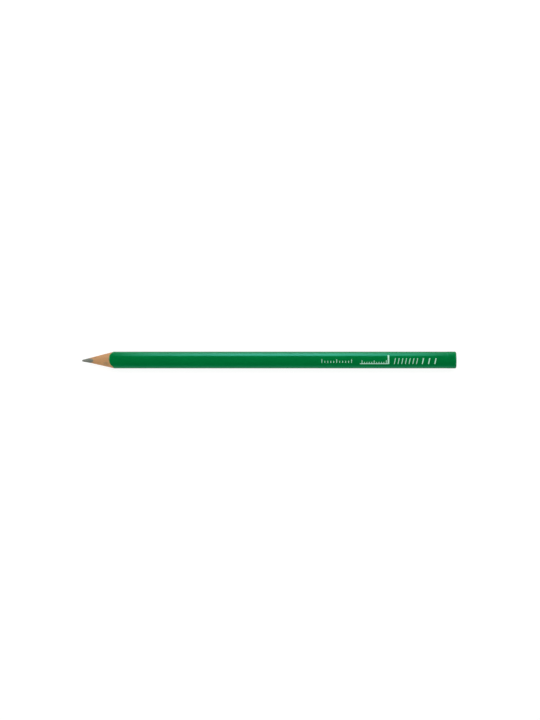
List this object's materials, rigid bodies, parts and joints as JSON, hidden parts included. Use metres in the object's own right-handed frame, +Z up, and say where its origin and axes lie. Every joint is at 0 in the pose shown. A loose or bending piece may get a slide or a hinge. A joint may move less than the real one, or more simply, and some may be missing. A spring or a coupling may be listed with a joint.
{
  "type": "carpenter pencil",
  "caption": "Flat-oval wooden carpenter pencil with a hard grey lead, sharpened cone, green lacquer, stamped marks and a dipped end.",
  "frame": {"origin": "Under the middle of the pencil, on the plane it lies on: halfway between the tip and the butt, halfway across the wide side.", "axes": "+X along the barrel from the sharpened tip to the butt, Y across the wide side of the oval, +Z up through the printed wide face."},
  "size_m": [0.24, 0.011, 0.0073],
  "materials": {
    "wood": "matte",
    "lead": "satin",
    "glue": "satin",
    "undercoat": "matte",
    "lacquer": "gloss",
    "dip_lacquer": "gloss",
    "foil": "satin"
  },
  "bodies": {
    "root": {"lead_core": "lead", "lead_bond_sleeve": "glue", "casing_upper_slat": "wood", "casing_lower_slat": "wood", "glue_seam_left": "glue", "glue_seam_right": "glue", "undercoat": "undercoat", "colour_coat": "lacquer", "end_dip_cap": "dip_lacquer", "imprint_scale": "foil", "imprint_square": "foil", "imprint_fine_bars": "foil", "imprint_bold_bars": "foil"}
  },
  "joints": []
}
